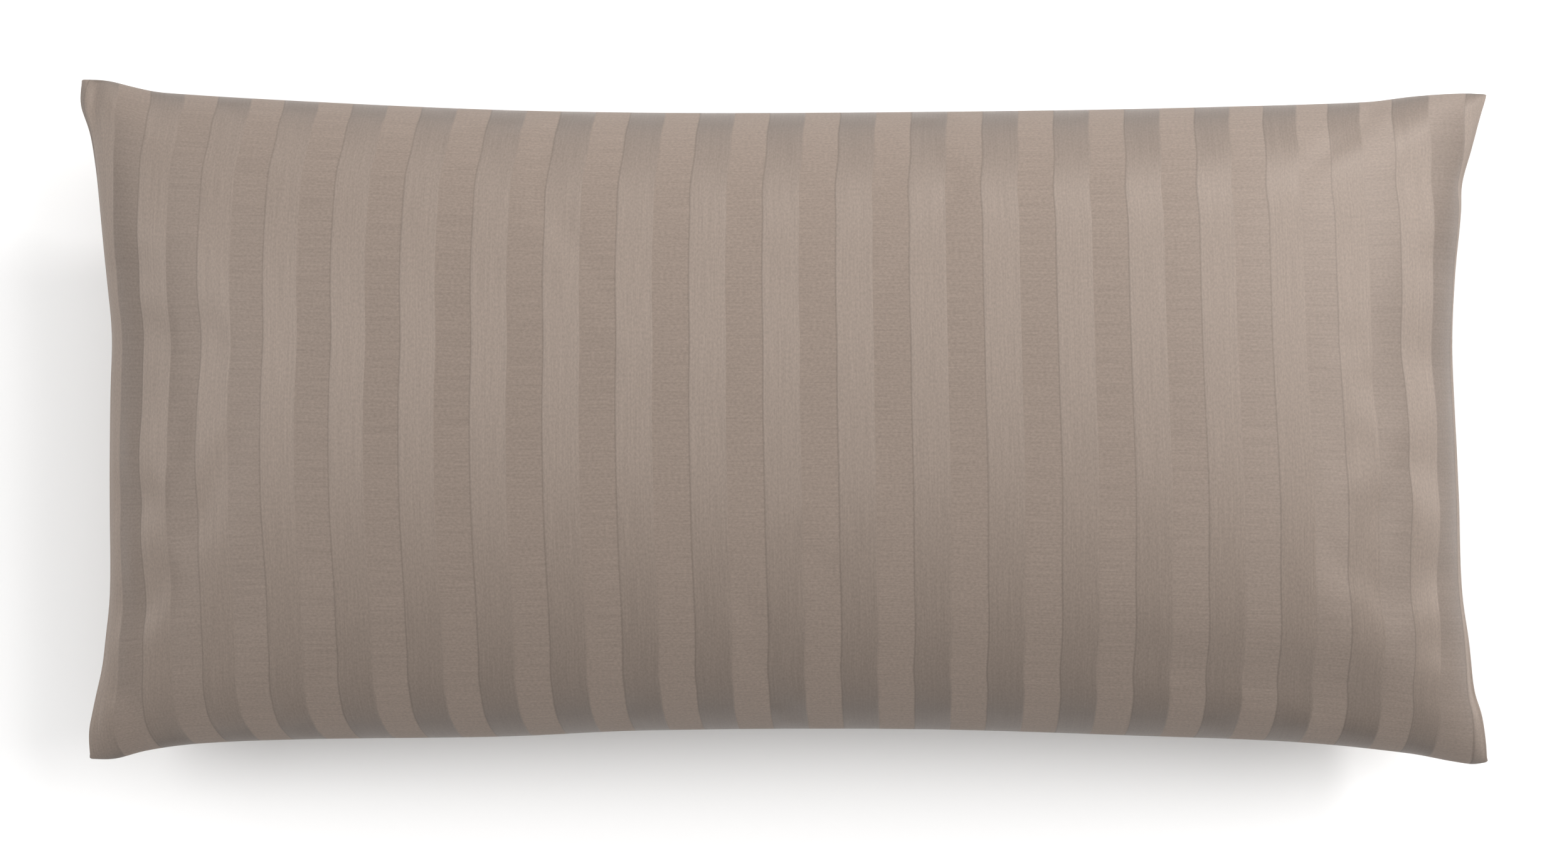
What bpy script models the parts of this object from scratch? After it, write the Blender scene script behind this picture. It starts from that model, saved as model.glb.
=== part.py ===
"""Filled pillowcase, 80 by 40 cm, lying on its back.

The case is two cloth panels sewn together all round. Its filling gives it a soft crown,
so the seam is drawn in along every side and the four corners stay flat and pointed.
Metres, +Z up, +X along the case, origin under its middle on the surface it lies on.
"""
import math
from collections import namedtuple

import bmesh
import bpy

# Sizes of the filled case, in metres
CORNERS = {
    "upper left": (-0.3951, 0.1921),
    "upper right": (0.3945, 0.1837),
    "lower left": (-0.3905, -0.1894),
    "lower right": (0.3952, -0.1911),
}
SEAM_HEIGHT = 0.068      # seam above the surface, halfway along a side
CORNER_HEIGHT = 0.050    # tips of the corners above the surface
CROWN = 0.084            # middle of the front panel above the seam
BELLY = 0.090            # how far the back panel would hang below the seam if nothing held it up
CONTACT_EASE = 0.008     # height over which the back panel curves up from the surface
SEAM_SAG_POWER = 4       # how late the seam drops towards a corner

# Faces along and across each panel, and how much closer together they are at the seam
PANEL_FACES = (60, 30)
EDGE_CROWDING = 0.6

# How far each seam is drawn in from the straight line between its corners.
# share of the way along the side, draw-in in metres
UPPER_SEAM = (
    (0.00, 0.0000), (0.02, 0.0009), (0.04, 0.0047), (0.06, 0.0078), (0.17, 0.0130),
    (0.30, 0.0168), (0.42, 0.0175), (0.55, 0.0162), (0.70, 0.0136), (0.80, 0.0108),
    (0.91, 0.0064), (0.945, 0.0025), (0.98, 0.0000), (1.00, 0.0000),
)
LOWER_SEAM = (
    (0.00, 0.0000), (0.02, 0.0004), (0.043, 0.0054), (0.083, 0.0099), (0.16, 0.0130),
    (0.30, 0.0152), (0.40, 0.0188), (0.59, 0.0198), (0.75, 0.0162), (0.86, 0.0124),
    (0.94, 0.0056), (0.985, -0.0010), (1.00, 0.0000),
)
# the two ends run from the lower corner to the upper one
LEFT_SEAM = (
    (0.00, 0.0000), (0.043, 0.0016), (0.073, 0.0047), (0.102, 0.0078), (0.139, 0.0118),
    (0.176, 0.0140), (0.25, 0.0177), (0.40, 0.0184), (0.545, 0.0196), (0.62, 0.0209),
    (0.692, 0.0186), (0.84, 0.0128), (0.895, 0.0094), (0.923, 0.0067), (0.96, 0.0011),
    (1.00, 0.0000),
)
RIGHT_SEAM = (
    (0.00, 0.0000), (0.049, 0.0040), (0.079, 0.0069), (0.109, 0.0113), (0.184, 0.0154),
    (0.259, 0.0200), (0.41, 0.0220), (0.559, 0.0247), (0.634, 0.0256), (0.747, 0.0230),
    (0.822, 0.0195), (0.86, 0.0185), (0.906, 0.0129), (0.9625, 0.0058), (1.00, 0.0000),
)

# Shape of the crown at each side: fullness is how flat the middle is, power is how
# gently the panel leaves the seam (0.5 is as steep as a ball, 1 is a straight bow)
Bow = namedtuple("Bow", "fullness power")
CROWN_AT = {
    "left": Bow(2.3, 0.50),
    "right": Bow(3.0, 0.455),
    "lower": Bow(2.2, 0.56),
    "upper": Bow(2.3, 0.53),
}

# Soft folds and puckers pressed into the front panel, in metres, with directions in degrees
Fold = namedtuple("Fold", "x y direction half_length half_width depth")
FRONT_FOLDS = (
    # crease beside the upper left corner
    Fold(-0.384, 0.1745, 95, 0.020, 0.006, 0.0030),
    # puckers along the left seam
    Fold(-0.368, 0.0805, 8, 0.020, 0.009, 0.0028),
    Fold(-0.366, 0.0155, -6, 0.018, 0.011, 0.0022),
    Fold(-0.367, -0.0445, 5, 0.022, 0.010, 0.0030),
    Fold(-0.372, -0.1075, 18, 0.024, 0.011, 0.0030),
    # puckers along the right seam
    Fold(0.362, 0.0875, -8, 0.018, 0.010, 0.0028),
    Fold(0.360, 0.0305, 4, 0.018, 0.010, 0.0026),
    Fold(0.362, -0.0275, -5, 0.018, 0.011, 0.0024),
    Fold(0.364, -0.0825, 6, 0.020, 0.010, 0.0026),
    Fold(0.370, -0.1245, -14, 0.024, 0.011, 0.0034),
    # long soft fold that runs into the lower right corner
    Fold(0.235, -0.1355, -8, 0.075, 0.017, 0.0032),
    Fold(0.305, -0.1505, -22, 0.050, 0.015, 0.0042),
    # dips where the upper right and lower left corners leave the filling
    Fold(0.370, 0.1475, 35, 0.026, 0.012, 0.0030),
    Fold(-0.360, -0.1585, 140, 0.026, 0.013, 0.0030),
)
FOLD_FADE = 3            # a fold fades out where the case is less than a third full

WELD_DISTANCE = 0.00001
SHARP_ANGLE = math.radians(70)


def clear_scene():
    """Remove the objects of the scene, so the script starts from an empty one."""
    for leftover in list(bpy.data.objects):
        bpy.data.objects.remove(leftover, do_unlink=True)


def draw_in(rows, share):
    """Read a seam's draw-in at a share of its length, on a smooth curve through its rows."""
    last = len(rows) - 2
    row = 0
    while row < last and share > rows[row + 1][0]:
        row += 1

    def slope(middle):
        before = rows[max(middle - 1, 0)]
        after = rows[min(middle + 1, len(rows) - 1)]
        return (after[1] - before[1]) / (after[0] - before[0])

    (start, low), (end, high) = rows[row], rows[row + 1]
    step = end - start
    part = (share - start) / step
    rise_in = slope(row) * step
    rise_out = slope(row + 1) * step
    return (
        low * (1 + 2 * part) * (1 - part) ** 2
        + rise_in * part * (1 - part) ** 2
        + high * part ** 2 * (3 - 2 * part)
        + rise_out * part ** 2 * (part - 1)
    )


def side_point(start, end, rows, share, inward):
    """A point of one seam, seen from above: on the line between its corners, then drawn in."""
    pull = draw_in(rows, share)
    return (
        start[0] + (end[0] - start[0]) * share + inward[0] * pull,
        start[1] + (end[1] - start[1]) * share + inward[1] * pull,
    )


def plan_point(along, across):
    """Where a point of either panel lies seen from above, filled in between the four seams."""
    lower_left, lower_right = CORNERS["lower left"], CORNERS["lower right"]
    upper_left, upper_right = CORNERS["upper left"], CORNERS["upper right"]
    lower = side_point(lower_left, lower_right, LOWER_SEAM, along, (0, 1))
    upper = side_point(upper_left, upper_right, UPPER_SEAM, along, (0, -1))
    left = side_point(lower_left, upper_left, LEFT_SEAM, across, (1, 0))
    right = side_point(lower_right, upper_right, RIGHT_SEAM, across, (-1, 0))
    place = []
    for axis in (0, 1):
        between_long_seams = lower[axis] * (1 - across) + upper[axis] * across
        between_end_seams = left[axis] * (1 - along) + right[axis] * along
        between_corners = (
            (lower_left[axis] * (1 - along) + lower_right[axis] * along) * (1 - across)
            + (upper_left[axis] * (1 - along) + upper_right[axis] * along) * across
        )
        place.append(between_long_seams + between_end_seams - between_corners)
    return place[0], place[1]


def rise(share, near, far):
    """How far the panel has risen, from 0 at a seam to 1 halfway to the other seam."""
    bow = CROWN_AT[near if share < 0.5 else far]
    from_middle = min(abs(2 * share - 1), 1)
    return (1 - from_middle ** bow.fullness) ** bow.power


def swell(along, across):
    """How full the case is at a point, from 0 on the seam to 1 in the middle."""
    return rise(along, "left", "right") * rise(across, "lower", "upper")


def seam_level(along, across):
    """Height of the seam's own surface, which drops towards the four corners."""
    towards_corner = abs(2 * along - 1) ** SEAM_SAG_POWER * abs(2 * across - 1) ** SEAM_SAG_POWER
    return SEAM_HEIGHT + (CORNER_HEIGHT - SEAM_HEIGHT) * towards_corner


def fold_depth(x, y):
    """How deep the soft folds press into the front panel at a point seen from above."""
    depth = 0
    for fold in FRONT_FOLDS:
        turn = math.radians(fold.direction)
        run = (x - fold.x) * math.cos(turn) + (y - fold.y) * math.sin(turn)
        offset = (y - fold.y) * math.cos(turn) - (x - fold.x) * math.sin(turn)
        depth += fold.depth * math.exp(-(run / fold.half_length) ** 2 - (offset / fold.half_width) ** 2)
    return depth


def front_height(along, across):
    """Height of the crowned front panel."""
    fullness = swell(along, across)
    x, y = plan_point(along, across)
    fade_at_seam = min(1, fullness * FOLD_FADE)
    return seam_level(along, across) + CROWN * fullness - fold_depth(x, y) * fade_at_seam


def back_height(along, across):
    """Height of the back panel, which lies flat where the surface holds it up."""
    hanging = seam_level(along, across) - BELLY * swell(along, across)
    if hanging <= -CONTACT_EASE:
        return 0
    if hanging < CONTACT_EASE:
        return (hanging + CONTACT_EASE) ** 2 / (4 * CONTACT_EASE)
    return hanging


def crowd(share):
    """Move evenly spaced shares closer together at both ends."""
    return share - EDGE_CROWDING * math.sin(2 * math.pi * share) / (2 * math.pi)


def split_corner_faces(bm, verts):
    """Cut each corner face from its tip inwards, so the tip keeps a little thickness."""
    for tip in [vert for vert in verts if len(vert.link_edges) == 2]:
        ring = list(tip.link_faces[0].verts)
        opposite = ring[(ring.index(tip) + 2) % len(ring)]
        bmesh.ops.connect_vert_pair(bm, verts=[tip, opposite])


def add_panel(bm, height):
    """Add one cloth panel: a flat grid, each point moved to its place on the filled case."""
    along_faces, across_faces = PANEL_FACES
    panel = bmesh.ops.create_grid(bm, x_segments=along_faces, y_segments=across_faces, size=0.5)
    split_corner_faces(bm, panel["verts"])
    for vert in panel["verts"]:
        along = crowd(min(max(vert.co.x + 0.5, 0), 1))
        across = crowd(min(max(vert.co.y + 0.5, 0), 1))
        x, y = plan_point(along, across)
        vert.co = (x, y, height(along, across))


def cloth_material():
    """Plain satin-striped cloth in a warm grey brown."""
    material = bpy.data.materials.new("taupe satin stripe")
    material.use_nodes = True
    shader = material.node_tree.nodes["Principled BSDF"]
    shader.inputs["Base Color"].default_value = (0.33, 0.27, 0.225, 1.0)
    shader.inputs["Roughness"].default_value = 0.5
    shader.inputs["Metallic"].default_value = 0.0
    return material


def build_pillowcase(collection):
    """The front and back panels, sewn together all round over their filling."""
    bm = bmesh.new()
    add_panel(bm, front_height)
    front_faces = set(bm.faces)
    add_panel(bm, back_height)
    back_faces = [face for face in bm.faces if face not in front_faces]
    bmesh.ops.reverse_faces(bm, faces=back_faces)
    rim = [vert for vert in bm.verts if vert.is_boundary]
    bmesh.ops.remove_doubles(bm, verts=rim, dist=WELD_DISTANCE)
    mesh = bpy.data.meshes.new("pillowcase")
    bm.to_mesh(mesh)
    bm.free()
    mesh.shade_smooth()
    mesh.set_sharp_from_angle(angle=SHARP_ANGLE)
    mesh.materials.append(cloth_material())
    pillowcase = bpy.data.objects.new("pillowcase", mesh)
    collection.objects.link(pillowcase)
    return pillowcase


def main():
    clear_scene()
    collection = bpy.data.collections.new("filled pillowcase")
    bpy.context.scene.collection.children.link(collection)
    build_pillowcase(collection)


main()
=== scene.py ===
"""Filled pillowcase, 80 by 40 cm, in tone-on-tone striped satin, with a plain studio round it.

The cloth is one closed pillow shape: a front and a back panel that meet in the seam all round.
Metres, +Z up, +X along the case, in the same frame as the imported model.
"""
import math
from collections import namedtuple

import bmesh
import bpy
import numpy as np
from bpy.props import FloatProperty, FloatVectorProperty, IntProperty, PointerProperty
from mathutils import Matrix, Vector


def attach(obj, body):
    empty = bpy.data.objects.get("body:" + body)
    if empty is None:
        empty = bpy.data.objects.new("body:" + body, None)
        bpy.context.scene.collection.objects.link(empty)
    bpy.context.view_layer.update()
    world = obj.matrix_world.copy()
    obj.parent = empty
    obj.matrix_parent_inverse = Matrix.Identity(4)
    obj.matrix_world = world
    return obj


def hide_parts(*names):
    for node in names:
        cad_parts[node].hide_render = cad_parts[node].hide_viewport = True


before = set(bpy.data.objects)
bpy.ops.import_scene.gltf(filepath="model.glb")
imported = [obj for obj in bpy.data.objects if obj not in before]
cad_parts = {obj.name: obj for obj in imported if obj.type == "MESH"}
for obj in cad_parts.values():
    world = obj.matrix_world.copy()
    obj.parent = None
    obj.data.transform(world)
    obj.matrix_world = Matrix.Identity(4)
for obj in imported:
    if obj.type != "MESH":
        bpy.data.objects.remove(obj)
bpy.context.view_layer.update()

bl_info = {
    "name": "Filled satin pillowcase",
    "version": (1, 0, 0),
    "blender": (4, 5, 0),
    "location": "3D View > Sidebar > Pillowcase",
    "description": "Builds a filled pillowcase in striped satin, and a plain studio round it",
    "category": "Add Mesh",
}

# Outline of the filled case, seen from above: its corner tips, in metres
CORNERS = {
    "upper left": (-0.3951, 0.1921),
    "upper right": (0.3945, 0.1837),
    "lower left": (-0.3905, -0.1894),
    "lower right": (0.3952, -0.1911),
}

# How far each seam is drawn in from the straight line between its corners: each pair is a share of
# the way along the side, and the draw-in there in metres
UPPER_SEAM = (
    (0.00, 0.0000), (0.02, 0.0009), (0.04, 0.0047), (0.06, 0.0078), (0.17, 0.0130),
    (0.30, 0.0168), (0.42, 0.0175), (0.55, 0.0162), (0.70, 0.0136), (0.80, 0.0108),
    (0.91, 0.0064), (0.945, 0.0025), (0.98, 0.0000), (1.00, 0.0000),
)
LOWER_SEAM = (
    (0.00, 0.0000), (0.02, 0.0004), (0.043, 0.0054), (0.083, 0.0099), (0.16, 0.0130),
    (0.30, 0.0152), (0.40, 0.0188), (0.59, 0.0198), (0.75, 0.0162), (0.86, 0.0124),
    (0.94, 0.0056), (0.985, -0.0010), (1.00, 0.0000),
)
# the two ends run from the lower corner to the upper one
LEFT_SEAM = (
    (0.00, 0.0000), (0.043, 0.0016), (0.073, 0.0047), (0.102, 0.0078), (0.139, 0.0118),
    (0.176, 0.0140), (0.25, 0.0177), (0.40, 0.0184), (0.545, 0.0196), (0.62, 0.0209),
    (0.692, 0.0186), (0.84, 0.0128), (0.895, 0.0094), (0.923, 0.0067), (0.96, 0.0011),
    (1.00, 0.0000),
)
RIGHT_SEAM = (
    (0.00, 0.0000), (0.049, 0.0040), (0.079, 0.0069), (0.109, 0.0113), (0.184, 0.0154),
    (0.259, 0.0200), (0.41, 0.0220), (0.559, 0.0247), (0.634, 0.0256), (0.747, 0.0230),
    (0.822, 0.0195), (0.86, 0.0185), (0.906, 0.0129), (0.9625, 0.0058), (1.00, 0.0000),
)

# Shape of the crown at each side: fullness is how flat the middle is, power is how
# gently the panel leaves the seam (0.5 is as steep as a ball, 1 is a straight bow)
Bow = namedtuple("Bow", "fullness power")
CROWN_AT = {
    "left": Bow(2.3, 0.50),
    "right": Bow(3.0, 0.455),
    "lower": Bow(2.2, 0.56),
    "upper": Bow(2.3, 0.53),
}
SEAM_SAG_POWER = 4       # how late the seam drops towards a corner

# Soft folds and puckers pressed into the front panel, in metres, with directions in degrees
Fold = namedtuple("Fold", "x y direction half_length half_width depth")
FRONT_FOLDS = (
    # crease beside the upper left corner
    Fold(-0.384, 0.1745, 95, 0.020, 0.006, 0.0030),
    # puckers along the left seam
    Fold(-0.368, 0.0805, 8, 0.020, 0.009, 0.0028),
    Fold(-0.366, 0.0155, -6, 0.018, 0.011, 0.0022),
    Fold(-0.367, -0.0445, 5, 0.022, 0.010, 0.0030),
    Fold(-0.372, -0.1075, 18, 0.024, 0.011, 0.0030),
    # puckers along the right seam
    Fold(0.362, 0.0875, -8, 0.018, 0.010, 0.0028),
    Fold(0.360, 0.0305, 4, 0.018, 0.010, 0.0026),
    Fold(0.362, -0.0275, -5, 0.018, 0.011, 0.0024),
    Fold(0.364, -0.0825, 6, 0.020, 0.010, 0.0026),
    Fold(0.370, -0.1245, -14, 0.024, 0.011, 0.0034),
    # long soft fold that runs into the lower right corner
    Fold(0.235, -0.1355, -8, 0.075, 0.017, 0.0032),
    Fold(0.305, -0.1505, -22, 0.050, 0.015, 0.0042),
    # dips where the upper right and lower left corners leave the filling
    Fold(0.370, 0.1475, 35, 0.026, 0.012, 0.0030),
    Fold(-0.360, -0.1585, 140, 0.026, 0.013, 0.0030),
)
FOLD_FADE = 3            # a fold fades out where the case is less than a third full

# Fine creases, too small for the solid, that run right up to the seam
FINE_CREASES = (
    # edge of the flap at the upper left corner
    Fold(-0.3838, 0.1770, 95, 0.019, 0.0024, 0.0032),
    # edges of the flaps at the two lower corners
    Fold(-0.3815, -0.1620, 78, 0.018, 0.0022, 0.0014),
    Fold(0.3815, -0.1510, -79, 0.024, 0.0024, 0.0024),
    # short puckers that the stitches of the end seams pull in
    Fold(-0.3745, 0.0560, 12, 0.009, 0.0040, 0.0012),
    Fold(-0.3735, -0.0120, -9, 0.008, 0.0045, 0.0011),
    Fold(-0.3755, -0.0790, 14, 0.010, 0.0045, 0.0013),
    Fold(0.3670, 0.1120, -16, 0.009, 0.0042, 0.0013),
    Fold(0.3650, 0.0590, 6, 0.008, 0.0045, 0.0012),
    Fold(0.3650, 0.0010, -5, 0.010, 0.0050, 0.0012),
    Fold(0.3690, -0.0560, 10, 0.009, 0.0045, 0.0013),
    Fold(0.3720, -0.1050, -12, 0.010, 0.0040, 0.0013),
)
# The stitching draws in a groove just inside each end seam: how far inside, half its width and
# its depth, in metres
Groove = namedtuple("Groove", "inside half_width depth")
END_GROOVES = {"left": Groove(0.0016, 0.0010, 0.0016), "right": Groove(0.0026, 0.0011, 0.0020)}
CORNER_GROOVE = 0.15     # share of a groove's depth that is left at the corners
TIP_RADIUS = 0.0025      # the corner tips are turned out round
PINCH = 0.0009           # how far the stitches pull the seam itself inwards
PINCH_WIDTH = 0.0012     # width of cloth on either side of the seam that follows
PINCH_FADE = 0.012       # the pull fades out over this length towards each corner tip
CREASE_FADE = 0.0015     # creases and grooves fade out over this width, on the seam itself
FILLED_LENGTH = 0.780    # the filled case from seam to seam, to measure distances from the seams
FILLED_WIDTH = 0.370

# The flat cloth before it is filled: its width, and where its two ends fall, in stripe repeats
# counted from the start of the first lengthwise stripe
CLOTH_WIDTH = 0.400
LEFT_END = {"upper": -0.155, "lower": -0.005}
RIGHT_END = {"upper": 20.49, "lower": 20.17}
FIRST_FULL_EDGE = 0.5    # inner edge of the first lengthwise stripe
LAST_FULL_EDGE = 20.0    # last edge where a lengthwise stripe starts
# columns of faces between an end seam and the nearest full stripe edge, as shares from the seam
END_COLUMNS = (0.0, 0.03, 0.065, 0.105, 0.15, 0.20, 0.26, 0.34, 0.44, 0.56, 0.70, 0.85)
EDGE_CROWDING = 0.82     # how much closer together the rows of faces are at the long seams
# How far the filling has pushed the stripes to the left of their even places, in millimetres.
# Each row starts with a share of the way along the case. Its other columns go up across the cloth,
# at the shares of its width in DRIFT_ACROSS.
DRIFT_ACROSS = (0.0, 0.17, 0.50, 0.82, 0.92, 1.0)
STRIPE_DRIFT = (
    # along, lower seam, lower part, middle, upper part, beside the upper seam, upper seam
    (0.00, 0.0, 0.0, 0.0, 0.0, 0.0, 0.0),
    (0.05, -6.0, 0.2, 2.0, 1.7, -4.6, 2.5),
    (0.10, -5.5, 2.8, 3.0, 1.5, -4.8, 1.0),
    (0.15, -3.0, 3.9, 4.0, 2.0, -4.0, 2.0),
    (0.29, 0.0, 6.1, 6.3, 3.8, -1.8, 1.0),
    (0.49, 4.4, 7.8, 8.0, 4.2, 0.8, 0.8),
    (0.69, 6.5, 8.2, 8.2, 3.5, 1.2, -2.2),
    (0.83, 8.6, 6.9, 9.1, 3.9, 2.2, -4.0),
    (0.93, 8.0, 6.6, 9.6, 6.0, 6.0, -0.5),
    (0.98, 11.0, 10.0, 2.3, -2.6, -1.0, -6.0),
    (1.00, 0.0, 0.0, 0.0, 0.0, 0.0, 0.0),
)
MM_PER_METRE = 1000
BACK_OFFSET = 0.45       # where the back panel's cloth lies in the map of the flat cloth
MEASURING_STEPS = 400    # points on a line over the case whose length is measured
GRID_HALF = 0.5          # half the side of the flat square grid that each panel starts from
WELD_DISTANCE = 0.00001  # the two panels' edges are joined where they lie closer than this
TINY = 1e-9              # keeps a length from being zero in a division

# What the mesh keeps beside its shape: the cloth's map, the painted shade of its steep threads, and
# where each vertex lies on the flat cloth
CLOTH_MAP = "flat cloth"
STEEP_SHADE_ATTRIBUTE = "thread tilt"
FLAT_PLACE = "flat place"

# Painted shade on steep threads: how much darker they are painted, a little at first, then quickly.
# Each side of the case takes a share of that, up to a most, and the upper side takes less because it
# faces the lamps.
STEEP_START = 0.65
STEEP_GAIN = 2.4
SideShade = namedtuple("SideShade", "share most")
SHADE_SHARE_AT_SIDE = {"lower": SideShade(1.25, 0.62), "upper": SideShade(0.65, 0.50)}
CROSSWISE_SHADE = 0.5    # crosswise threads take a painted shade of half their slope

# Cloth simulation
SIMULATED_FRAMES = 20
CLOTH_SETTINGS = {
    "quality": 6,
    "mass": 0.15,
    "tension_stiffness": 25,
    "compression_stiffness": 25,
    "shear_stiffness": 8,
    "bending_stiffness": 0.15,
    "use_pressure": True,
    "uniform_pressure_force": 4.0,
}
HELD_HEIGHT = 0.0005     # cloth below this height lies on the surface and is held there
SMOOTHING_ROUNDS = 16    # rounds of smoothing that part the wrinkles from the main shape
WRINKLE_SHARE = 0.5      # how much of the simulated wrinkles the cloth takes on
WRINKLE_CAP = 0.0010     # the most that a wrinkle may move the cloth, in metres
SEAM_HOLD = 0.022        # width of cloth beside the seam over which the wrinkles fade out

# Noise of the threads: how many spots it has in a metre across a thread and along it, and how many
# finer layers lie on it
Yarn = namedtuple("Yarn", "across along detail")
STREAKS = Yarn(1100, 24, 2)
GRAIN = Yarn(900, 600, 2)
RELIEF = Yarn(2600, 160, 3)
NOISE_ROUGHNESS = 0.6    # strength of each finer layer of that noise
RELIEF_HEIGHT = 0.0002   # height of the threads' relief, in metres
LINE_CORE = 0.35         # share of the painted shadow line's width that is fully dark
QUARTER_TURN = 0.25      # turns the drawn-out gloss of the crosswise threads

FLOOR_ROUGHNESS = 0.9
FLOOR_GLOSS = 0.2

# Where each lamp hangs, in metres, and how wide it is
Lamp = namedtuple("Lamp", "x y z width")
LAMPS = {
    "key": Lamp(2.19, 3.10, 1.72, 0.5),
    "softbox": Lamp(2.72, 0.96, 2.2, 2.5),
    "fill": Lamp(-2.50, 0.45, 2.2, 1.6),
}
CAMERA_OFFSET = (-0.00035, -0.0025)      # from the middle of the case, as in the photo
SENSOR_WIDTH = 36.0                      # of the camera, in millimetres


# Shape of the case


def read_curve(rows, share):
    """Read a table of shares and values at any share, on a smooth curve through its rows."""
    at, pull = np.array(rows).T
    before = np.maximum(np.arange(len(at)) - 1, 0)
    after = np.minimum(np.arange(len(at)) + 1, len(at) - 1)
    slope = (pull[after] - pull[before]) / (at[after] - at[before])
    row = np.clip(np.searchsorted(at, share) - 1, 0, len(at) - 2)
    step = at[row + 1] - at[row]
    part = (share - at[row]) / step
    return (
        pull[row] * (1 + 2 * part) * (1 - part) ** 2
        + slope[row] * step * part * (1 - part) ** 2
        + pull[row + 1] * part ** 2 * (3 - 2 * part)
        + slope[row + 1] * step * part ** 2 * (part - 1)
    )


def side_point(start, end, rows, share, inward):
    """Points of one seam, seen from above: on the line between its corners, then drawn in."""
    pull = read_curve(rows, share)
    return np.array([
        start[0] + (end[0] - start[0]) * share + inward[0] * pull,
        start[1] + (end[1] - start[1]) * share + inward[1] * pull,
    ])


def plan_point(along, across):
    """Where points of either panel lie seen from above, filled in between the four seams."""
    corner = {name: np.array(place).reshape(2, 1) for name, place in CORNERS.items()}
    lower = side_point(CORNERS["lower left"], CORNERS["lower right"], LOWER_SEAM, along, (0, 1))
    upper = side_point(CORNERS["upper left"], CORNERS["upper right"], UPPER_SEAM, along, (0, -1))
    left = side_point(CORNERS["lower left"], CORNERS["upper left"], LEFT_SEAM, across, (1, 0))
    right = side_point(CORNERS["lower right"], CORNERS["upper right"], RIGHT_SEAM, across, (-1, 0))
    between_corners = (
        (corner["lower left"] * (1 - along) + corner["lower right"] * along) * (1 - across)
        + (corner["upper left"] * (1 - along) + corner["upper right"] * along) * across
    )
    between_long_seams = lower * (1 - across) + upper * across
    between_end_seams = left * (1 - along) + right * along
    return between_long_seams + between_end_seams - between_corners + tip_rounding(along, across)


def tip_rounding(along, across):
    """How far points move inwards where the corner tips are rounded."""
    to_end = np.maximum(1 - np.minimum(along, 1 - along) * FILLED_LENGTH / TIP_RADIUS, 0)
    to_side = np.maximum(1 - np.minimum(across, 1 - across) * FILLED_WIDTH / TIP_RADIUS, 0)
    inwards = np.array([
        to_end - to_end * np.sqrt(1 - to_side ** 2 / 2),
        to_side - to_side * np.sqrt(1 - to_end ** 2 / 2),
    ])
    return TIP_RADIUS * inwards * np.array([np.sign(0.5 - along), np.sign(0.5 - across)])


def rise(share, near, far):
    """How far the panel has risen, from 0 at a seam to 1 halfway to the other seam."""
    from_middle = np.minimum(np.abs(2 * share - 1), 1)
    near_rise = (1 - from_middle ** CROWN_AT[near].fullness) ** CROWN_AT[near].power
    far_rise = (1 - from_middle ** CROWN_AT[far].fullness) ** CROWN_AT[far].power
    return np.where(share < 0.5, near_rise, far_rise)


def swell(along, across):
    """How full the case is at each point, from 0 on the seam to 1 in the middle."""
    return rise(along, "left", "right") * rise(across, "lower", "upper")


def seam_level(shape, along, across):
    """Height of the seam's own surface, which drops towards the four corners."""
    to_end, to_side = np.abs(2 * along - 1), np.abs(2 * across - 1)
    towards_corner = to_end ** SEAM_SAG_POWER * to_side ** SEAM_SAG_POWER
    return shape.seam_height + (shape.corner_height - shape.seam_height) * towards_corner


def fold_depth(folds, x, y):
    """How deep a set of folds presses into the front panel at points seen from above."""
    depth = np.zeros_like(x)
    for fold in folds:
        turn = math.radians(fold.direction)
        run = (x - fold.x) * math.cos(turn) + (y - fold.y) * math.sin(turn)
        offset = (y - fold.y) * math.cos(turn) - (x - fold.x) * math.sin(turn)
        depth += fold.depth * np.exp(-(run / fold.half_length) ** 2 - (offset / fold.half_width) ** 2)
    return depth


def from_seam_line(along, across):
    """How far points lie inside the nearest seam, seen from above."""
    to_end = np.minimum(along, 1 - along) * FILLED_LENGTH
    to_side = np.minimum(across, 1 - across) * FILLED_WIDTH
    return np.minimum(to_end, to_side)


def groove_depth(along, across):
    """How deep the grooves beside the two end seams are, shallower on the flat corners."""
    depth = np.zeros_like(along)
    for side, from_end in (("left", along), ("right", 1 - along)):
        groove = END_GROOVES[side]
        offset = (from_end * FILLED_LENGTH - groove.inside) / groove.half_width
        depth += groove.depth * np.exp(-offset ** 2)
    return depth * (CORNER_GROOVE + (1 - CORNER_GROOVE) * rise(across, "lower", "upper"))


def front_surface(shape, along, across, folded=True):
    """Points of the crowned front panel, with its folds or without them."""
    fullness = swell(along, across)
    x, y = plan_point(along, across)
    height = seam_level(shape, along, across) + shape.crown * fullness
    if folded:
        height = height - fold_depth(FRONT_FOLDS, x, y) * np.minimum(1, fullness * FOLD_FADE)
        on_seam = np.minimum(1, from_seam_line(along, across) / CREASE_FADE)
        height = height - (fold_depth(FINE_CREASES, x, y) + groove_depth(along, across)) * on_seam
    return np.array([x, y, height])


def back_surface(shape, along, across, folded=True):
    """Points of the back panel, flat where the surface holds it up. It has no folds either way."""
    ease = shape.contact_ease
    hanging = seam_level(shape, along, across) - shape.belly * swell(along, across)
    eased = (hanging + ease) ** 2 / (4 * ease)
    height = np.where(hanging <= -ease, 0, np.where(hanging < ease, eased, hanging))
    x, y = plan_point(along, across)
    return np.array([x, y, height])


# Cloth on the case


def arc_shares(points):
    """How far along a line of points each one lies, as shares of the line's length."""
    steps = np.linalg.norm(np.diff(points, axis=1), axis=0)
    distance = np.concatenate(([0], np.cumsum(steps)))
    return distance / distance[-1]


def crowd(share, amount):
    """Move evenly spaced shares closer together at both ends."""
    return share - amount * np.sin(2 * math.pi * share) / (2 * math.pi)


def measuring_shares():
    """Shares from 0 to 1, close together at both ends where the panels are steep."""
    return (1 - np.cos(np.linspace(0, math.pi, MEASURING_STEPS))) / 2


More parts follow.
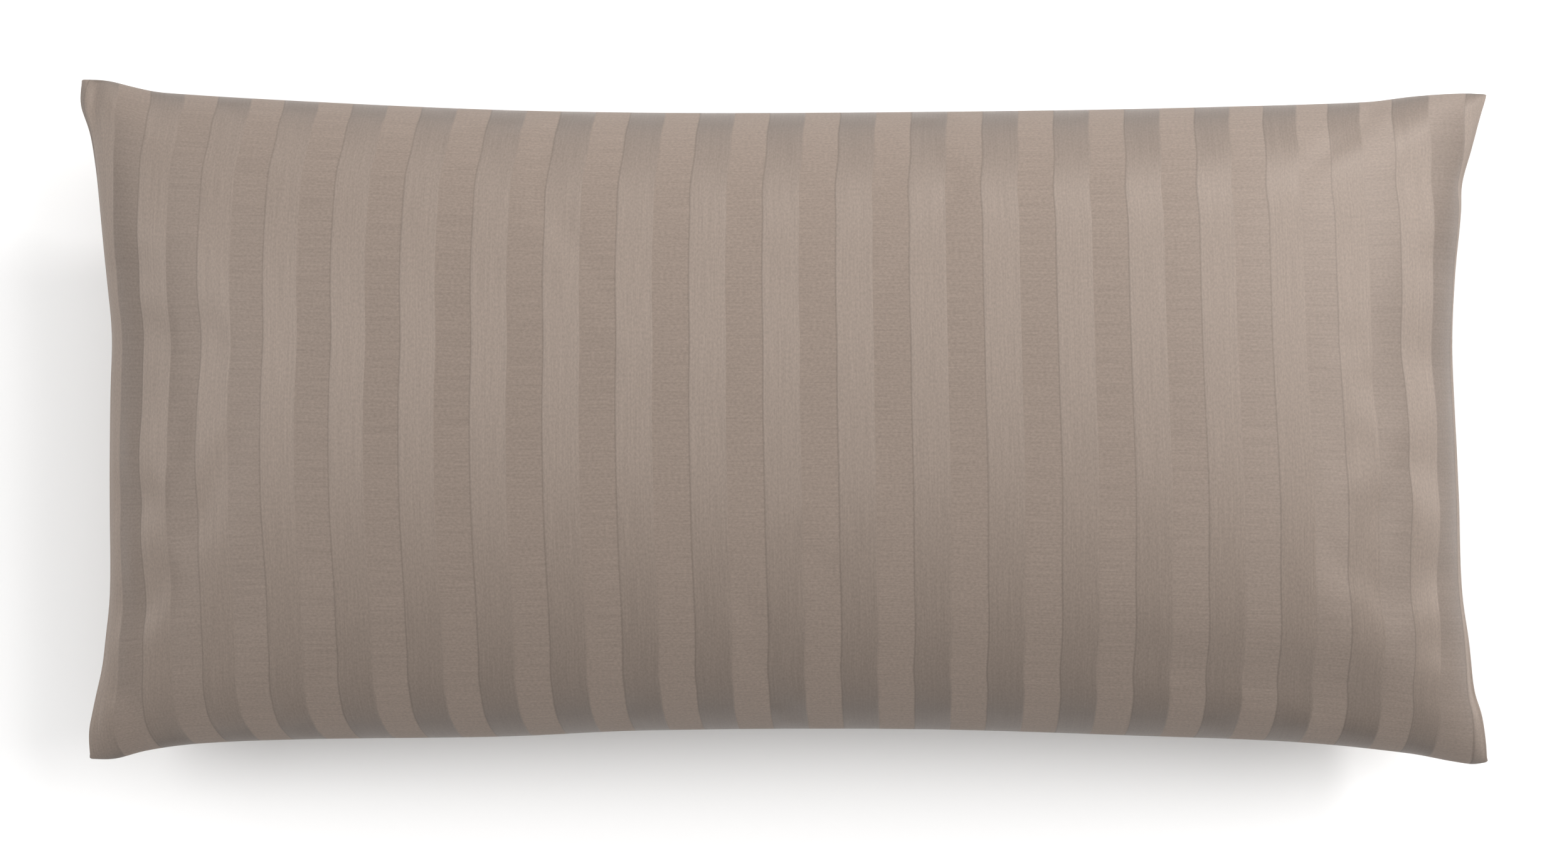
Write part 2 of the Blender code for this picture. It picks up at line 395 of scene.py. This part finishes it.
def across_for(shape, surface, cloth_shares):
    """Turn shares of the cloth's width into shares across the filled case."""
    across = measuring_shares()
    middle_line = surface(shape, np.full_like(across, 0.5), across, folded=False)
    return np.interp(cloth_shares, arc_shares(middle_line), across)


def end_places(cloth_share):
    """Where the two end seams lie on the flat cloth, in stripe repeats, at a share of its width."""
    left = LEFT_END["lower"] + (LEFT_END["upper"] - LEFT_END["lower"]) * cloth_share
    right = RIGHT_END["lower"] + (RIGHT_END["upper"] - RIGHT_END["lower"]) * cloth_share
    return left, right


def column_places(cloth_share, faces_per_stripe):
    """Where the columns of faces lie on the flat cloth, in stripe repeats, at one row."""
    left, right = end_places(cloth_share)
    stripes = round((LAST_FULL_EDGE - FIRST_FULL_EDGE) * 2)
    full = np.linspace(FIRST_FULL_EDGE, LAST_FULL_EDGE, stripes * faces_per_stripe + 1)
    end_shares = np.array(END_COLUMNS)
    first = left + (FIRST_FULL_EDGE - left) * end_shares
    last = right + (LAST_FULL_EDGE - right) * end_shares[::-1]
    return np.concatenate((first, full, last))


def stripe_drift(cloth_share, shares):
    """How far the stripes of one row have drifted to the left, in metres."""
    row = [
        (along, float(read_curve(list(zip(DRIFT_ACROSS, drifts)), cloth_share)))
        for along, *drifts in STRIPE_DRIFT
    ]
    return read_curve(row, shares) / MM_PER_METRE


def row_points(shape, surface, cloth_share, across, places):
    """Points of one row of the panel, with its folds and without them.

    The cloth is laid evenly along the row, but for its drift.
    """
    along = measuring_shares()
    row_line = surface(shape, along, np.full_like(along, across), folded=False)
    shares = (places - places[0]) / (places[-1] - places[0])
    row_length = np.linalg.norm(np.diff(row_line, axis=1), axis=0).sum()
    shares = shares - stripe_drift(cloth_share, shares) / row_length
    along_at = np.interp(shares, arc_shares(row_line), along)
    across_at = np.full_like(along_at, across)
    return [surface(shape, along_at, across_at, folded).T for folded in (True, False)]


def pull_beside_seam(distance):
    """How far the cloth is pulled inwards at a distance from the seam."""
    return PINCH * np.exp(-(distance / PINCH_WIDTH) ** 2)


def pinched(filled, flat, repeat):
    """Pull the seam inwards all round, where the stitches hold the two panels together."""
    from_left = (flat[..., 0] - flat[:, :1, 0]) * repeat
    from_right = (flat[:, -1:, 0] - flat[..., 0]) * repeat
    from_lower, from_upper = flat[..., 1], CLOTH_WIDTH - flat[..., 1]
    lengthwise = pull_beside_seam(from_left) - pull_beside_seam(from_right)
    lengthwise *= np.clip(np.minimum(from_lower, from_upper) / PINCH_FADE, 0, 1)
    crosswise = pull_beside_seam(from_lower) - pull_beside_seam(from_upper)
    crosswise *= np.clip(np.minimum(from_left, from_right) / PINCH_FADE, 0, 1)
    return filled + np.stack([lengthwise, crosswise, np.zeros_like(lengthwise)], axis=-1)


def panel_layout(shape, surface, repeat):
    """Places of all grid points of a panel: on the filled case, without its folds, and flat."""
    rows = np.linspace(0, 1, shape.rows + 1)
    cloth_shares = crowd(rows, EDGE_CROWDING)
    across = across_for(shape, surface, cloth_shares)
    pairs, flat = [], []
    for cloth_share, share in zip(cloth_shares, across):
        places = column_places(cloth_share, shape.faces_per_stripe)
        pairs.append(row_points(shape, surface, cloth_share, share, places))
        width = np.full_like(places, cloth_share * CLOTH_WIDTH)
        flat.append(np.array([places, width]).T)
    folded, unfolded = np.array(pairs).swapaxes(0, 1)
    flat = np.array(flat)
    return pinched(folded, flat, repeat), pinched(unfolded, flat, repeat), flat


def thread_slope(filled, axis):
    """Sine of the angle at which the threads along one axis of the grid rise."""
    thread = np.gradient(filled, axis=axis)
    length = np.maximum(np.linalg.norm(thread, axis=-1), TINY)
    return thread[..., 2] / length


def painted_thread_shade(filled, unfolded):
    """Painted shade of the lengthwise and the crosswise threads at each grid point, from their slope.
    """
    slope = thread_slope(unfolded, 0)
    lengthwise = 1 - np.sqrt(np.maximum(1 - slope ** 2, 0))
    lengthwise *= STEEP_START + STEEP_GAIN * lengthwise
    lower, upper = [
        np.minimum(lengthwise * SHADE_SHARE_AT_SIDE[side].share, SHADE_SHARE_AT_SIDE[side].most)
        for side in ("lower", "upper")
    ]
    crosswise = np.abs(thread_slope(filled, 1)) * CROSSWISE_SHADE
    return np.stack([np.where(slope > 0, lower, upper), crosswise], axis=-1)


def add_panel(bm, shape, surface, repeat, map_offset):
    """Add one cloth panel: a flat grid, with each point moved to its place on the filled case."""
    filled, unfolded, flat = panel_layout(shape, surface, repeat)
    # painted shade for the steep threads, worked out from the panel's slopes
    shade_amount = painted_thread_shade(filled, unfolded)
    rows, columns = filled.shape[0] - 1, filled.shape[1] - 1
    cloth_map = bm.loops.layers.uv[CLOTH_MAP]
    shade_layer = bm.verts.layers.float_color[STEEP_SHADE_ATTRIBUTE]
    flat_place = bm.verts.layers.float_vector[FLAT_PLACE]
    old_faces = set(bm.faces)
    grid = bmesh.ops.create_grid(bm, x_segments=columns, y_segments=rows, size=GRID_HALF)
    split_corner_faces(bm, grid["verts"])
    place = {}
    for vert in grid["verts"]:
        row = round((vert.co.y + GRID_HALF) * rows)
        column = round((vert.co.x + GRID_HALF) * columns)
        along, across = flat[row, column, 0] * repeat, flat[row, column, 1]
        place[vert] = (along, across + map_offset)
        vert.co = filled[row, column]
        # each vertex keeps the painted shade of its steep threads
        vert[shade_layer] = (*shade_amount[row, column], 0, 1)
        vert[flat_place] = (along, across, 0)
    faces = [face for face in bm.faces if face not in old_faces]
    for face in faces:
        for loop in face.loops:
            loop[cloth_map].uv = place[loop.vert]
    return faces


def split_corner_faces(bm, verts):
    """Cut each corner face from its tip inwards, so the tip keeps a little thickness."""
    for tip in [vert for vert in verts if len(vert.link_edges) == 2]:
        ring = list(tip.link_faces[0].verts)
        opposite = ring[(ring.index(tip) + 2) % len(ring)]
        bmesh.ops.connect_vert_pair(bm, verts=[tip, opposite])


def sort_stripes(faces, cloth_map, repeat):
    """Give each face the finish of its stripe: satin threads along the stripe, or across it."""
    for face in faces:
        middle = sum(loop[cloth_map].uv.x for loop in face.loops) / len(face.loops)
        face.material_index = 0 if (middle / repeat) % 1 < 0.5 else 1


def build_cloth_mesh(shape, cloth):
    """The front and back panels, sewn together all round."""
    bm = bmesh.new()
    bm.loops.layers.uv.new(CLOTH_MAP)
    bm.verts.layers.float_color.new(STEEP_SHADE_ATTRIBUTE)
    bm.verts.layers.float_vector.new(FLAT_PLACE)
    add_panel(bm, shape, front_surface, cloth.repeat, 0)
    back_faces = add_panel(bm, shape, back_surface, cloth.repeat, BACK_OFFSET)
    bmesh.ops.reverse_faces(bm, faces=back_faces)
    sort_stripes(bm.faces, bm.loops.layers.uv[CLOTH_MAP], cloth.repeat)
    rim = [vert for vert in bm.verts if vert.is_boundary]
    bmesh.ops.remove_doubles(bm, verts=rim, dist=WELD_DISTANCE)
    mesh = bpy.data.meshes.new("pillowcase_cloth")
    bm.to_mesh(mesh)
    bm.free()
    mesh.shade_smooth()
    return mesh


# Wrinkles


def read_points(mesh):
    """The places of a mesh's vertices as rows of an array."""
    points = np.empty(len(mesh.vertices) * 3, np.float32)
    mesh.vertices.foreach_get("co", points)
    return points.reshape(-1, 3).astype(float)


def read_flat_places(mesh):
    """Where a mesh's vertices lie on the flat cloth, as rows of an array."""
    places = np.empty(len(mesh.vertices) * 3, np.float32)
    mesh.attributes[FLAT_PLACE].data.foreach_get("vector", places)
    return places.reshape(-1, 3)


def even_out(mesh, values, rounds):
    """Smooth a value per vertex over its neighbours."""
    edges = np.empty(len(mesh.edges) * 2, np.int32)
    mesh.edges.foreach_get("vertices", edges)
    first, second = edges.reshape(-1, 2).T
    neighbours = np.bincount(edges, minlength=len(values)).reshape(-1, 1)
    for _ in range(rounds):
        total = np.zeros_like(values)
        np.add.at(total, first, values[second])
        np.add.at(total, second, values[first])
        # each vertex goes halfway to the mean of its neighbours
        values = 0.5 * values + 0.5 * total / neighbours
    return values


def add_cut_shape(piece):
    """Keep the flat cut cloth as a shape, whose lengths the simulated cloth wants to have."""
    piece.shape_key_add(name="filled")
    cut = piece.shape_key_add(name="cut flat")
    cut.data.foreach_set("co", read_flat_places(piece.data).ravel())
    cut.value = 0
    return cut


def settle_cloth(piece):
    """Simulate the cloth under the filling's pressure: its vertices before and after."""
    scene = bpy.context.scene
    points = read_points(piece.data)
    cut = add_cut_shape(piece)
    held = piece.vertex_groups.new(name="held by the surface")
    held.add([int(index) for index in np.flatnonzero(points[:, 2] < HELD_HEIGHT)], 1.0, "REPLACE")
    cloth = piece.modifiers.new("filled cloth", "CLOTH")
    for name, value in CLOTH_SETTINGS.items():
        setattr(cloth.settings, name, value)
    cloth.settings.effector_weights.gravity = 0
    cloth.settings.vertex_group_mass = held.name
    cloth.settings.rest_shape_key = cut
    cloth.point_cache.frame_start = 1
    cloth.point_cache.frame_end = SIMULATED_FRAMES
    for number in range(1, SIMULATED_FRAMES + 1):
        scene.frame_set(number)
    settled = read_points(piece.evaluated_get(bpy.context.evaluated_depsgraph_get()).data)
    piece.modifiers.remove(cloth)
    piece.shape_key_clear()
    piece.vertex_groups.remove(held)
    scene.frame_set(1)
    return points, settled


def freedom_from_seam(piece, repeat):
    """How free the cloth is to wrinkle at each vertex: 0 on the seam, 1 well away from it."""
    along, across, _ = read_flat_places(piece.data).T
    left, right = [place * repeat for place in end_places(across / CLOTH_WIDTH)]
    from_seam = np.minimum.reduce([along - left, right - along, across, CLOTH_WIDTH - across])
    freedom = np.clip(from_seam / SEAM_HOLD, 0, 1)
    return (freedom ** 2 * (3 - 2 * freedom)).reshape(-1, 1)


def keep_wrinkles(piece, points, settled, freedom):
    """Move the cloth by the simulated wrinkles alone, so that its main shape stays."""
    moved = settled - points
    wrinkles = WRINKLE_SHARE * (moved - even_out(piece.data, moved, SMOOTHING_ROUNDS))
    size = np.maximum(np.linalg.norm(wrinkles, axis=1, keepdims=True), TINY)
    wrinkles *= freedom * np.minimum(1, WRINKLE_CAP / size)
    wrinkled = points + wrinkles
    wrinkled[:, 2] = np.maximum(wrinkled[:, 2], 0)
    piece.data.vertices.foreach_set("co", wrinkled.astype(np.float32).ravel())
    piece.data.update()


# Materials


def add_node(tree, kind, inputs=None, **settings):
    """Add a shader node with its settings, and with values or links on its inputs."""
    node = tree.nodes.new(kind)
    for name, value in settings.items():
        setattr(node, name, value)
    for name, value in (inputs or {}).items():
        if isinstance(value, bpy.types.NodeSocket):
            tree.links.new(value, node.inputs[name])
        else:
            node.inputs[name].default_value = value
    return node


def calculate(tree, operation, first, second=0.0):
    """One step of arithmetic on sockets or numbers."""
    return add_node(tree, "ShaderNodeMath", {0: first, 1: second}, operation=operation).outputs[0]


def ramp(tree, value, start, end, low, high):
    """Pass smoothly from low to high while a value goes from start to end."""
    limits = {"Value": value, "From Min": start, "From Max": end, "To Min": low, "To Max": high}
    return add_node(tree, "ShaderNodeMapRange", limits, interpolation_type="SMOOTHSTEP").outputs[0]


def uneven(tree, value, amount):
    """Spread a noise between 0 and 1 evenly round 1, by an amount to either side."""
    limits = {"Value": value, "To Min": 1 - amount, "To Max": 1 + amount}
    return add_node(tree, "ShaderNodeMapRange", limits).outputs[0]


def blend(tree, share, first, second):
    """Mix two colours."""
    inputs = {0: share, 6: first, 7: second}
    return add_node(tree, "ShaderNodeMix", inputs, data_type="RGBA").outputs[2]


def mix(tree, share, first, second):
    """Mix two numbers."""
    return add_node(tree, "ShaderNodeMix", {0: share, 2: first, 3: second}).outputs[0]


def darkened(tree, amount, depth):
    """What is left of the colour where something darkens it by an amount of a depth."""
    return calculate(tree, "SUBTRACT", 1.0, calculate(tree, "MULTIPLY", amount, depth))


def threads(tree, place, along_stripe, yarn):
    """Streaky noise, drawn out along the stripe or across it, between 0 and 1."""
    scale = (yarn.across, yarn.along, 1) if along_stripe else (yarn.along, yarn.across, 1)
    stretched = add_node(tree, "ShaderNodeMapping", {"Vector": place, "Scale": scale})
    inputs = {
        "Vector": stretched.outputs[0], "Scale": 1.0,
        "Detail": yarn.detail, "Roughness": NOISE_ROUGHNESS,
    }
    return add_node(tree, "ShaderNodeTexNoise", inputs, noise_dimensions="2D").outputs[0]


def colour_of(values):
    """A colour with its alpha."""
    return (*values, 1.0)


def stripe_marks(tree, cloth, place):
    """Where the lengthwise stripes are, 1 in them and 0 beside them, and the painted shadow line at
    their start.
    """
    across_stripes = add_node(tree, "ShaderNodeSeparateXYZ", {0: place}).outputs[0]
    repeats = calculate(tree, "DIVIDE", across_stripes, cloth.repeat)
    share = calculate(tree, "FRACT", repeats)
    soft = cloth.soft_edge / cloth.repeat / 2
    is_lengthwise = ramp(tree, share, 0.5 - soft, 0.5 + soft, 1, 0)
    from_start = calculate(tree, "MULTIPLY", calculate(tree, "PINGPONG", repeats, 0.5), cloth.repeat)
    start_shadow_line = ramp(tree, from_start, cloth.line_width * LINE_CORE, cloth.line_width, 1, 0)
    return is_lengthwise, start_shadow_line


def woven_shade(tree, cloth, place, along_stripe, is_lengthwise):
    """How uneven the threads and the weave are, round 1."""
    lengthwise = threads(tree, place, True, STREAKS)
    crosswise = threads(tree, place, False, STREAKS)
    streaks = uneven(tree, mix(tree, is_lengthwise, crosswise, lengthwise), cloth.streaks)
    grain = uneven(tree, threads(tree, place, along_stripe, GRAIN), cloth.grain)
    return calculate(tree, "MULTIPLY", streaks, grain)


def painted_steep_shade(tree, cloth, is_lengthwise):
    """How much of the colour is left under the painted shade where the threads run steeply down."""
    shade_layer = add_node(tree, "ShaderNodeAttribute", attribute_name=STEEP_SHADE_ATTRIBUTE)
    steep = add_node(tree, "ShaderNodeSeparateColor", {0: shade_layer.outputs["Color"]})
    shade_amount = mix(tree, is_lengthwise, steep.outputs[1], steep.outputs[0])
    return darkened(tree, shade_amount, cloth.painted_steep_shade)


def satin_colour(tree, cloth, place, along_stripe):
    """Colour of the striped cloth, with its threads, its painted shadow lines and the painted shade on
    its steep parts.
    """
    is_lengthwise, start_shadow_line = stripe_marks(tree, cloth, place)
    crosswise_colour = colour_of(cloth.crosswise_colour)
    plain = blend(tree, is_lengthwise, crosswise_colour, colour_of(cloth.lengthwise_colour))
    woven = woven_shade(tree, cloth, place, along_stripe, is_lengthwise)
    # painted shadow line where the floats of a lengthwise stripe end
    lined = calculate(tree, "MULTIPLY", woven, darkened(tree, start_shadow_line, cloth.shadow_line_depth))
    # painted shade where the threads run steeply down
    shade = calculate(tree, "MULTIPLY", lined, painted_steep_shade(tree, cloth, is_lengthwise))
    shaded = add_node(tree, "ShaderNodeVectorMath", {0: plain, "Scale": shade}, operation="SCALE")
    return shaded.outputs[0]


def thread_relief(tree, cloth, place, along_stripe):
    """Fine relief of the threads."""
    weave = threads(tree, place, along_stripe, RELIEF)
    inputs = {"Height": weave, "Strength": cloth.weave_relief, "Distance": RELIEF_HEIGHT}
    return add_node(tree, "ShaderNodeBump", inputs).outputs[0]


def satin_finish(name, cloth, along_stripe):
    """Striped satin, for the stripes whose threads float along the stripe, or across it."""
    material = bpy.data.materials.new(name)
    material.use_nodes = True
    tree = material.node_tree
    shader = tree.nodes["Principled BSDF"]
    place = add_node(tree, "ShaderNodeUVMap", uv_map=CLOTH_MAP).outputs[0]
    tangent = add_node(tree, "ShaderNodeTangent", direction_type="UV_MAP", uv_map=CLOTH_MAP)
    tree.links.new(satin_colour(tree, cloth, place, along_stripe), shader.inputs["Base Color"])
    tree.links.new(thread_relief(tree, cloth, place, along_stripe), shader.inputs["Normal"])
    tree.links.new(tangent.outputs[0], shader.inputs["Tangent"])
    shader.inputs["Roughness"].default_value = cloth.roughness
    shader.inputs["IOR"].default_value = cloth.gloss if along_stripe else cloth.crosswise_gloss
    shader.inputs["Specular Tint"].default_value = colour_of(cloth.gloss_tint)
    shader.inputs["Anisotropic"].default_value = cloth.thread_gloss
    shader.inputs["Anisotropic Rotation"].default_value = 0.0 if along_stripe else QUARTER_TURN
    return material


def pale_floor(studio):
    """Even, matt, pale floor."""
    material = bpy.data.materials.new("pale_floor")
    material.use_nodes = True
    shader = material.node_tree.nodes["Principled BSDF"]
    shader.inputs["Base Color"].default_value = colour_of(studio.floor_colour)
    shader.inputs["Roughness"].default_value = FLOOR_ROUGHNESS
    shader.inputs["Specular IOR Level"].default_value = FLOOR_GLOSS
    return material


# Properties


class PillowcaseShape(bpy.types.PropertyGroup):
    """Sizes of the filled case."""

    crown: FloatProperty(
        name="Crown", description="Middle of the front panel above the seam",
        default=0.084, min=0, unit="LENGTH",
    )
    belly: FloatProperty(
        name="Belly", description="How far the back panel would hang below the seam unless held up",
        default=0.090, min=0, unit="LENGTH",
    )
    seam_height: FloatProperty(
        name="Seam height", description="Seam above the surface, halfway along a side",
        default=0.068, min=0, unit="LENGTH",
    )
    corner_height: FloatProperty(
        name="Corner height", description="Tips of the corners above the surface",
        default=0.050, min=0, unit="LENGTH",
    )
    contact_ease: FloatProperty(
        name="Contact ease", description="Height over which the back panel curves up from the surface",
        default=0.008, min=0.0001, unit="LENGTH",
    )
    rows: IntProperty(
        name="Rows", description="Rows of faces between the long seams", default=72, min=8,
    )
    faces_per_stripe: IntProperty(
        name="Faces per stripe", description="Columns of faces in each stripe", default=3, min=1,
    )


class PillowcaseCloth(bpy.types.PropertyGroup):
    """Stripes, colours and gloss of the satin."""

    repeat: FloatProperty(
        name="Stripe repeat", description="Width of one lengthwise and one crosswise stripe together",
        default=0.0387, min=0.001, unit="LENGTH",
    )
    lengthwise_colour: FloatVectorProperty(
        name="Lengthwise stripe", description="Colour where the threads float along the stripe",
        default=(0.193, 0.153, 0.1265), subtype="COLOR", min=0, max=1,
    )
    crosswise_colour: FloatVectorProperty(
        name="Crosswise stripe", description="Colour where the threads float across the stripe",
        default=(0.207, 0.164, 0.136), subtype="COLOR", min=0, max=1,
    )
    soft_edge: FloatProperty(
        name="Soft edge", description="Width over which a lengthwise stripe passes into the next one",
        default=0.0014, min=0.0001, unit="LENGTH",
    )
    # painted shadow line where the floats of a lengthwise stripe end
    line_width: FloatProperty(
        name="Shadow line width", description="Half width of the dark line where a lengthwise stripe starts",
        default=0.0007, min=0.0001, unit="LENGTH",
    )
    shadow_line_depth: FloatProperty(
        name="Shadow line depth", description="How dark that line is",
        default=0.20, min=0, max=1, subtype="FACTOR",
    )
    streaks: FloatProperty(
        name="Streaks", description="Unevenness of the threads' colour",
        default=0.14, min=0, max=1, subtype="FACTOR",
    )
    grain: FloatProperty(
        name="Grain", description="Unevenness of the weave from one spot to the next",
        default=0.26, min=0, max=1, subtype="FACTOR",
    )
    weave_relief: FloatProperty(
        name="Weave relief", description="Strength of the threads' fine relief",
        default=0.12, min=0, max=1, subtype="FACTOR",
    )
    # painted shade: how much darker steep threads are painted
    painted_steep_shade: FloatProperty(
        name="Painted steep shade", description="How much darker threads are where they run steeply down",
        default=0.82, min=0, max=1, subtype="FACTOR",
    )
    roughness: FloatProperty(
        name="Roughness", description="Roughness of the satin",
        default=0.55, min=0, max=1, subtype="FACTOR",
    )
    gloss: FloatProperty(
        name="Gloss", description="Refractive index of the lengthwise stripes, for their gloss",
        default=1.72, min=1, max=3,
    )
    crosswise_gloss: FloatProperty(
        name="Crosswise gloss", description="Refractive index of the duller crosswise stripes",
        default=1.58, min=1, max=3,
    )
    gloss_tint: FloatVectorProperty(
        name="Gloss tint", description="Colour of the gloss, tinted by the dyed threads",
        default=(1.0, 0.88, 0.80), subtype="COLOR", min=0, max=1,
    )
    thread_gloss: FloatProperty(
        name="Thread gloss", description="How much the gloss is drawn out across the threads",
        default=0.665, min=0, max=1, subtype="FACTOR",
    )


class PillowcaseStudio(bpy.types.PropertyGroup):
    """Floor, camera and light."""

    floor_size: FloatProperty(
        name="Floor", description="Side of the square floor", default=24.0, min=1, unit="LENGTH",
    )
    floor_colour: FloatVectorProperty(
        name="Floor colour", description="Colour of the floor",
        default=(0.94, 0.935, 0.93), subtype="COLOR", min=0, max=1,
    )
    camera_height: FloatProperty(
        name="Camera height", description="Camera above the surface the case lies on",
        default=1.638, min=0.1, unit="LENGTH",
    )
    lens: FloatProperty(
        name="Lens", description="Focal length of the camera", default=65.0, min=10, unit="CAMERA",
    )
    sky: FloatProperty(
        name="Sky", description="Strength of the even white light from all round", default=0.70, min=0,
    )
    sky_lean: FloatProperty(
        name="Sky lean", description="How much brighter that light is from the far side of the case",
        default=0.28, min=0, max=1, subtype="FACTOR",
    )
    key: FloatProperty(
        name="Key light", description="Power of the low light from the upper right",
        default=66.0, min=0, unit="POWER",
    )
    softbox: FloatProperty(
        name="Softbox", description="Power of the large soft light on the right",
        default=90.0, min=0, unit="POWER",
    )
    fill: FloatProperty(
        name="Fill light", description="Power of the soft light on the left",
        default=40.0, min=0, unit="POWER",
    )


# Operators


class PILLOWCASE_OT_add_cloth(bpy.types.Operator):
    """Add the filled pillowcase in place of its plain solid."""

    bl_idname = "pillowcase.add_cloth"
    bl_label = "Add Pillowcase"

    def execute(self, context):
        shape, cloth = context.scene.pillowcase_shape, context.scene.pillowcase_cloth
        mesh = build_cloth_mesh(shape, cloth)
        mesh.materials.append(satin_finish("satin_threads_lengthwise", cloth, True))
        mesh.materials.append(satin_finish("satin_threads_crosswise", cloth, False))
        piece = bpy.data.objects.new("pillowcase_cloth", mesh)
        context.scene.collection.objects.link(piece)
        freedom = freedom_from_seam(piece, cloth.repeat)
        keep_wrinkles(piece, *settle_cloth(piece), freedom)
        smooth = piece.modifiers.new("smooth cloth", "SUBSURF")
        smooth.levels = 1
        smooth.render_levels = 1
        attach(piece, "root")
        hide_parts("pillowcase")
        return {"FINISHED"}


class PILLOWCASE_OT_add_studio(bpy.types.Operator):
    """Add the floor, the lights and the camera."""

    bl_idname = "pillowcase.add_studio"
    bl_label = "Add Studio"

    def execute(self, context):
        studio = context.scene.pillowcase_studio
        add_floor(context.scene, studio)
        add_lights(context.scene, studio)
        add_camera(context.scene, studio)
        context.scene.view_settings.view_transform = "Standard"
        return {"FINISHED"}


def add_floor(scene, studio):
    """A plain square floor at the height where the case rests."""
    bm = bmesh.new()
    bmesh.ops.create_grid(bm, x_segments=1, y_segments=1, size=studio.floor_size / 2)
    mesh = bpy.data.meshes.new("floor")
    bm.to_mesh(mesh)
    bm.free()
    mesh.materials.append(pale_floor(studio))
    floor = bpy.data.objects.new("floor", mesh)
    scene.collection.objects.link(floor)


def add_lights(scene, studio):
    """White surroundings, a low key light, and soft lights on the right and the left."""
    world = bpy.data.worlds.new("white studio")
    world.use_nodes = True
    tree = world.node_tree
    direction = add_node(tree, "ShaderNodeTexCoord").outputs["Generated"]
    towards_top = add_node(tree, "ShaderNodeSeparateXYZ", {0: direction}).outputs[1]
    limits = {
        "Value": towards_top, "From Min": -1.0, "From Max": 1.0,
        "To Min": studio.sky * (1 - studio.sky_lean), "To Max": studio.sky * (1 + studio.sky_lean),
    }
    strength = add_node(tree, "ShaderNodeMapRange", limits).outputs[0]
    sky = tree.nodes["Background"]
    sky.inputs["Color"].default_value = (1.0, 1.0, 1.0, 1.0)
    tree.links.new(strength, sky.inputs["Strength"])
    scene.world = world
    for name, lamp in LAMPS.items():
        light = bpy.data.lights.new(name, "AREA")
        light.shape = "SQUARE"
        light.size = lamp.width
        light.energy = getattr(studio, name)
        hung = bpy.data.objects.new(name, light)
        hung.location = (lamp.x, lamp.y, lamp.z)
        # a lamp shines along its own -Z, here towards the middle of the case
        hung.rotation_euler = Vector((lamp.x, lamp.y, lamp.z)).to_track_quat("Z", "Y").to_euler()
        scene.collection.objects.link(hung)


def add_camera(scene, studio):
    """A camera straight above the case."""
    data = bpy.data.cameras.new("camera")
    data.lens = studio.lens
    data.sensor_width = SENSOR_WIDTH
    camera = bpy.data.objects.new("camera", data)
    camera.location = (*CAMERA_OFFSET, studio.camera_height)
    scene.collection.objects.link(camera)
    scene.camera = camera


class PILLOWCASE_PT_panel(bpy.types.Panel):
    """Buttons and sizes of the pillowcase."""

    bl_idname = "PILLOWCASE_PT_panel"
    bl_label = "Pillowcase"
    bl_space_type = "VIEW_3D"
    bl_region_type = "UI"
    bl_category = "Pillowcase"

    def draw(self, context):
        scene = context.scene
        for group in (scene.pillowcase_shape, scene.pillowcase_cloth, scene.pillowcase_studio):
            box = self.layout.box()
            for name in group.__annotations__:
                box.prop(group, name)
        self.layout.operator(PILLOWCASE_OT_add_cloth.bl_idname)
        self.layout.operator(PILLOWCASE_OT_add_studio.bl_idname)


CLASSES = (
    PillowcaseShape,
    PillowcaseCloth,
    PillowcaseStudio,
    PILLOWCASE_OT_add_cloth,
    PILLOWCASE_OT_add_studio,
    PILLOWCASE_PT_panel,
)


def register():
    for item in CLASSES:
        bpy.utils.register_class(item)
    bpy.types.Scene.pillowcase_shape = PointerProperty(type=PillowcaseShape)
    bpy.types.Scene.pillowcase_cloth = PointerProperty(type=PillowcaseCloth)
    bpy.types.Scene.pillowcase_studio = PointerProperty(type=PillowcaseStudio)


def unregister():
    del bpy.types.Scene.pillowcase_studio
    del bpy.types.Scene.pillowcase_cloth
    del bpy.types.Scene.pillowcase_shape
    for item in reversed(CLASSES):
        bpy.utils.unregister_class(item)


def main():
    register()
    bpy.ops.pillowcase.add_cloth()
    bpy.ops.pillowcase.add_studio()


if __name__ == "__main__":
    main()
